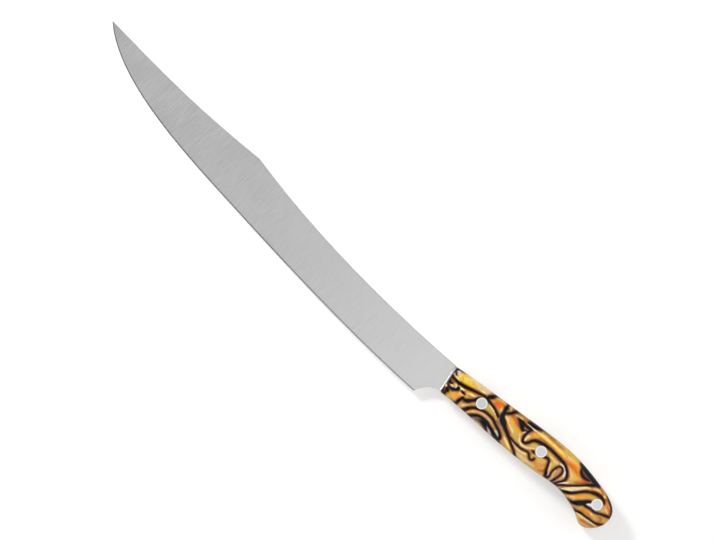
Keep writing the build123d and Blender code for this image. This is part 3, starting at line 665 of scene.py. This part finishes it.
def rivet_cutter(part):
    """Cylinders that the rivets' heads or tubes fill."""
    mesh = bmesh.new()
    for place in ("front", "middle", "rear"):
        low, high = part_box(f"{place}_rivet_tube")
        centre = (low + high) / 2
        seat = high.z - head_height
        if part == "heads":
            radius, bottom, top = (high.x - low.x) / 2 + fit_gap, seat, high.z + head_height
        else:
            radius, bottom, top = tube_radius + fit_gap, 0, seat + mm
        spot = Matrix.Translation((centre.x, centre.y, (bottom + top) / 2))
        bmesh.ops.create_cone(mesh, cap_ends=True, segments=hole_sides, radius1=radius,
                              radius2=radius, depth=top - bottom, matrix=spot)
    return link_mesh(part, mesh)


def build_scale():
    """The left scale as one closed, finely divided mesh with its rivet holes."""
    face, walls, marble_origin = scale_surface(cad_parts["left_scale"])
    mesh = bmesh.new()
    for grid, flip in ((face, True), (walls[0], True), (walls[1], False), (walls[2], False)):
        add_grid(mesh, grid, flip)
    bmesh.ops.remove_doubles(mesh, verts=mesh.verts, dist=merge_distance)
    bmesh.ops.dissolve_degenerate(mesh, edges=mesh.edges, dist=merge_distance)
    bmesh.ops.contextual_create(mesh, geom=[edge for edge in mesh.edges if edge.is_boundary])
    bmesh.ops.recalc_face_normals(mesh, faces=mesh.faces)
    piece = link_mesh("left_scale_resin", mesh)
    cutters = [rivet_cutter(part) for part in ("heads", "tubes")]
    for cutter in cutters:
        cut = piece.modifiers.new(cutter.name, "BOOLEAN")
        cut.object = cutter
        cut.solver = "EXACT"
    shape = bpy.data.meshes.new_from_object(piece.evaluated_get(bpy.context.evaluated_depsgraph_get()))
    piece.modifiers.clear()
    piece.data = shape
    for cutter in cutters:
        bpy.data.meshes.remove(cutter.data)  # and the cutter with it
    return piece, marble_origin


def mirrored(piece, name, middle_z):
    """A copy of a piece on the other side of the steel's middle."""
    mesh = piece.data.copy()
    flipped = positions(mesh) * (1, 1, -1) + (0, 0, 2 * middle_z)
    mesh.vertices.foreach_set("co", flipped.ravel().astype(np.float32))
    mesh.flip_normals()
    return link(name, mesh)


def positions(mesh):
    flat = np.empty(len(mesh.vertices) * 3, np.float32)
    mesh.vertices.foreach_get("co", flat)
    return flat.reshape(-1, 3).astype(float)


# Marbling
def middle_line(along):
    """Where the handle's middle lies across the marbling."""
    places, offsets = zip(*spine)
    return np.interp(along, places, offsets)


def unfold(spots, depth):
    """Places in the marbling of points below the rim: it runs on outwards, and wanders. Depth is
    measured from the flat side."""
    below = np.clip(depth - edge_rounding, 0, None)[:, None] / marble_unit
    along = spots[:, 0]
    core = np.stack([np.clip(along, spine_front, spine[-1][0]), middle_line(along)], axis=1)
    out = spots - core
    out /= np.maximum(np.linalg.norm(out, axis=1), 1)[:, None]
    wander = np.stack([np.sin(pace_along * along) + 0.5, 0.6 * np.sin(pace_across * along + 1)], axis=1)
    return spots + below * (lean_out * out + lean_about * wander)


def turn_round(spots):
    """The places turned end to end, along the same middle line."""
    along, across = spots.T
    turned = marble_length - along
    return np.stack([turned, across - middle_line(along) + middle_line(turned)], axis=1)


def paint(colour, spots, strokes, softness):
    """Lays strokes of the table's colours over the points' colours."""
    for name, points in strokes:
        line = smooth_curve(points, stroke_step)
        reach = line[:, 2].max() + softness
        low, high = line[:, :2].min(axis=0) - reach, line[:, :2].max(axis=0) + reach
        near = np.all((spots > low) & (spots < high), axis=1)
        off = nearest(spots[near], line, line[:, 2])[0]
        share = ease(np.clip(0.5 - off / softness, 0, 1)[:, None]) * stroke_cover
        colour[near] = colour[near] * (1 - share) + linear(name) * share


def marble(piece, spots):
    """Gives each point of a scale, from its place in the marbling, the resin's colour with a few painted
    highlight streaks, and the nearest dark vein's distance and tone."""
    curves = [smooth_curve(points, vein_step) for tone, points in veins]
    tones = np.repeat([tone for tone, points in veins], [len(curve) for curve in curves])
    line = np.vstack(curves)
    gap, index = nearest(spots, line, line[:, 2])
    colour = np.tile(linear("gold"), (len(spots), 1))
    paint(colour, spots, bands, band_softness)
    beside = np.clip(1 - gap / halo_reach, 0, 1)[:, None]
    colour *= 1 - ease(beside) * (1 - halo_tint)
    # The streaks include painted highlights along the upper rounding.
    paint(colour, spots, streaks, streak_softness)
    opaque = np.ones((len(spots), 1))
    store(piece.data, "vein_gap", "FLOAT", gap)
    store(piece.data, "vein_tone", "FLOAT", tones[index])
    store(piece.data, "resin_colour_and_painted_highlight", "FLOAT_COLOR", np.hstack([colour, opaque]))


def store(mesh, name, kind, values):
    field = "color" if kind == "FLOAT_COLOR" else "value"
    attribute = mesh.attributes.new(name, kind, "POINT")
    attribute.data.foreach_set(field, values.ravel().astype(np.float32))


# Materials
def new_material(name):
    """A material without nodes, and its node tree."""
    material = bpy.data.materials.new(name)
    material.use_nodes = True
    material.node_tree.nodes.clear()
    return material, material.node_tree


def add(tree, kind, links=(), **values):
    """Outputs of a new node. Its sockets are set to values, or linked from other nodes' outputs."""
    node = tree.nodes.new("ShaderNode" + kind)
    for name, value in values.items():
        setattr(node, name, value)
    for socket, source in dict(links).items():
        if isinstance(source, bpy.types.NodeSocket):
            tree.links.new(source, node.inputs[socket])
        else:
            node.inputs[socket].default_value = source
    return node.outputs


def noise(tree, place, scale, detail):
    links = {"Vector": place, "Scale": scale, "Detail": detail}
    return add(tree, "TexNoise", links)[0]


def calc(tree, operation, *values):
    return add(tree, "Math", dict(enumerate(values)), operation=operation)[0]


def remap(tree, value, start, end, first=0, last=1, kind="LINEAR"):
    """Takes a value from one range to another, and holds it there past both ends."""
    links = {0: value, 1: start, 2: end, 3: first, 4: last}
    return add(tree, "MapRange", links, interpolation_type=kind)[0]


def fade(tree, *values):
    """The same with soft ends."""
    return remap(tree, *values, kind="SMOOTHSTEP")


def mix(tree, share, colour, other):
    return add(tree, "Mix", {0: share, 6: colour, 7: other}, data_type="RGBA")[2]


def finish_surface(tree, sockets):
    add(tree, "OutputMaterial", {0: add(tree, "BsdfPrincipled", sockets)[0]})


def steel(name, tint, grain_scale, painted_rim_colour, round_rim):
    """Satin steel, brushed along one way. The rim gets a painted colour: a painted highlight ring on a
    rivet's head, or painted dark reflection on bevels that slope as the blade's ground back and choil do."""
    material, tree = new_material(name)
    surface = add(tree, "TexCoord")
    grain = add(tree, "Mapping", {0: surface["Object"], 3: grain_scale})[0]
    fine = noise(tree, grain, 1, 4)
    cloud = noise(tree, surface["Object"], cloud_scale, 3)
    rough = remap(tree, calc(tree, "ADD", fine, cloud), *noise_pair_span, *steel_roughness)
    metal = 1
    if round_rim:
        # The outer ring of a rivet's head: a painted white highlight, less metallic.
        spot = add(tree, "Mapping", {0: surface["Generated"], 1: (-1, -1, 0), 3: (2, 2, 0)})[0]
        reach = add(tree, "VectorMath", {0: spot}, operation="LENGTH")["Value"]
        rim = fade(tree, reach, *painted_ring_span)
        metal = remap(tree, rim, 0, 1, 1, painted_ring_metal)
    else:
        # The back's and the choil's bevels, picked by which way they face, get a painted dark reflection.
        rise = add(tree, "SeparateXYZ", {0: surface["Normal"]})["Z"]
        rim = calc(tree, "COMPARE", calc(tree, "ABSOLUTE", rise), bevel_rise, bevel_spread)
    shade = remap(tree, fine, *noise_span, *steel_shade)
    flat = add(tree, "HueSaturation", {"Value": shade, "Color": tint})[0]
    # painted light on the rim: dark reflection on the bevels, a highlight ring on the rivets
    colour = mix(tree, rim, flat, painted_rim_colour)
    bump = add(tree, "Bump", {"Strength": grain_strength, "Distance": grain_depth, "Height": fine})[0]
    finish_surface(tree, {"Base Color": colour, "Metallic": metal, "Roughness": rough, "Normal": bump})
    return material


def resin():
    """Polished marbled resin: soft dark veins, deeper colour beside them and paler colour between."""
    material, tree = new_material("marbled_resin")
    place = add(tree, "TexCoord")["Object"]
    gap = add(tree, "Attribute", attribute_name="vein_gap")["Fac"]
    tone = add(tree, "Attribute", attribute_name="vein_tone")["Fac"]
    tint = add(tree, "Attribute", attribute_name="resin_colour_and_painted_highlight")["Color"]
    ragged = remap(tree, noise(tree, place, ragged_scale, 3), 0, 1, -ragged_reach, ragged_reach)
    edge = calc(tree, "ADD", gap, ragged)
    # Fine bands run beside the veins, in cloudy resin.
    cloud = noise(tree, place, haze_scale, 4)
    drift = calc(tree, "MULTIPLY", cloud, band_drift)
    wave = calc(tree, "SINE", calc(tree, "MULTIPLY_ADD", gap, band_pace, drift))
    bright = remap(tree, wave, -1, 1, *band_shade)
    speckle = remap(tree, noise(tree, place, speckle_scale, 3), *noise_span, *speckle_shade)
    bright = calc(tree, "MULTIPLY", bright, speckle)
    bright = calc(tree, "MULTIPLY", bright, fade(tree, edge, *pale_span, 1, pale_shade))
    rich = remap(tree, cloud, *noise_span, *haze_saturation)
    banded = add(tree, "HueSaturation", {"Value": bright, "Saturation": rich, "Color": tint})[0]
    # The veins are darkest along their middles.
    heart, rim = mix(tree, tone, *vein_hearts), mix(tree, tone, *vein_rims)
    vein = mix(tree, fade(tree, edge, *heart_span), heart, rim)
    colour = mix(tree, fade(tree, edge, *vein_span, 1, 0), banded, vein)
    rough = remap(tree, noise(tree, place, polish_scale, 5), 0, 1, *resin_roughness)
    finish_surface(tree, {
        "Base Color": colour, "Roughness": rough, "IOR": resin_ior, "Specular IOR Level": resin_specular})
    return material


def floor_paint():
    """Pale paint that is brighter to the camera and in reflections than it lights the knife."""
    material, tree = new_material("pale_floor")
    paths = add(tree, "LightPath")
    seen = calc(tree, "MAXIMUM", paths["Is Camera Ray"], paths["Is Glossy Ray"])
    seen = calc(tree, "MAXIMUM", seen, paths["Is Transmission Ray"])
    glow = calc(tree, "MULTIPLY", seen, floor_glow)
    plain = add(tree, "BsdfDiffuse", {0: floor_colour})[0]
    light = add(tree, "Emission", {0: white, 1: glow})[0]
    add(tree, "OutputMaterial", {0: add(tree, "AddShader", {0: plain, 1: light})[0]})
    return material


def dress(piece, material):
    piece.data.materials.clear()
    piece.data.materials.append(material)


# The knife
satin = steel("satin_steel", blade_tint, blade_grain, painted_bevel_shade, False)
# white is the painted highlight ring on the rivets' heads
ground = steel("rivet_steel", rivet_tint, rivet_grain, white, True)
acrylic = resin()
for name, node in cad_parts.items():
    if "scale" not in name:
        dress(node, ground if "rivet" in name else satin)

middle_z = sum(corner.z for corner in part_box("blade_and_tang")) / 2
left, marble_origin = build_scale()
right = mirrored(left, "right_scale_resin", middle_z)
shape = positions(left.data)
spots = unfold((shape[:, :2] - marble_origin) / marble_unit, shape[:, 2].max() - shape[:, 2])
marble(left, spots)
marble(right, turn_round(spots))
for piece, node in ((left, "left_scale"), (right, "right_scale")):
    piece.data.shade_smooth()
    piece.data.set_sharp_from_angle(angle=radians(crease_angle))
    dress(piece, acrylic)
    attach(piece, "root")
    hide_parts(node)


# Stage
def floor_slope():
    """The knife rests on its handle and its tip, so the floor leans against both."""
    points = np.vstack([positions(node.data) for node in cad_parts.values()])
    tip = points[points[:, 0] < points[:, 0].min() + mm]
    tip = tip[tip[:, 2].argmin()]
    ahead = points[points[:, 0] > tip[0] + tip_clearance]
    return tip, ((ahead[:, 2] - tip[2]) / (ahead[:, 0] - tip[0])).min()


def build_floor():
    tip, slope = floor_slope()
    corners = []
    for x, y in ((-1, -1), (1, -1), (1, 1), (-1, 1)):
        x, y = x * half_floor, y * half_floor
        corners.append((x, y, tip[2] + (x - tip[0]) * slope - floor_gap))
    mesh = bpy.data.meshes.new("floor")
    mesh.from_pydata(corners, [], [(0, 1, 2, 3)])
    floor = link("floor", mesh)
    dress(floor, floor_paint())
    return floor


def place_camera(target):
    """Camera straight above the target, turned as the photograph is."""
    lens = bpy.data.cameras.new("camera")
    lens.sensor_width = sensor_width
    lens.lens = sensor_width * camera_height / view_width
    camera = link("camera", lens)
    turn = Matrix((
        (view_right.x, view_up.x, 0, 0), (view_right.y, view_up.y, 0, 0), (0, 0, 1, 0), (0, 0, 0, 1)))
    camera.matrix_world = Matrix.Translation(target + Vector((0, 0, camera_height))) @ turn
    bpy.context.scene.camera = camera


def light_studio():
    """Plain soft light all round, brighter from the handle's side."""
    world = bpy.data.worlds.new("studio")
    world.use_nodes = True
    tree = world.node_tree
    x, y, z = add(tree, "SeparateXYZ", {0: add(tree, "TexCoord")["Generated"]})
    near = fade(tree, x, *sky_turn, sky_dim, sky_bright)
    far = fade(tree, x, *sky_far_turn, 0, sky_far)
    low = fade(tree, z, *sky_low_turn, 0, sky_low)
    glow = calc(tree, "ADD", calc(tree, "ADD", near, far), low)
    band = calc(tree, "ABSOLUTE", calc(tree, "SUBTRACT", y, band_y))
    band = fade(tree, band, *band_width, sky_dark, 1)
    aside = calc(tree, "ABSOLUTE", calc(tree, "SUBTRACT", x, band_x))
    aside = fade(tree, aside, *band_length)
    glow = calc(tree, "MULTIPLY", glow, calc(tree, "MAXIMUM", band, aside))
    glow = calc(tree, "MULTIPLY", glow, fade(tree, x, *sky_rear_turn, 1, sky_rear))
    background = tree.nodes["Background"].inputs
    tree.links.new(glow, background["Strength"])
    background["Color"].default_value = white
    bpy.context.scene.world = world


def hang_lamp(target):
    """Key lamp that faces the target. The camera doesn't see it."""
    light = bpy.data.lights.new("key", "AREA")
    light.energy = key_power
    light.size = key_size
    lamp = link("key", light)
    turn = (key_place - target).to_track_quat("Z", "Y").to_matrix().to_4x4()
    lamp.matrix_world = Matrix.Translation(key_place) @ turn
    lamp.visible_camera = False


view_centre = Vector((cad_box[0][0], marble_origin[1], middle_z)) + view_offset
place_camera(view_centre)
floor = build_floor()
light_studio()
hang_lamp(view_centre)
bpy.context.scene.view_settings.view_transform = "Standard"
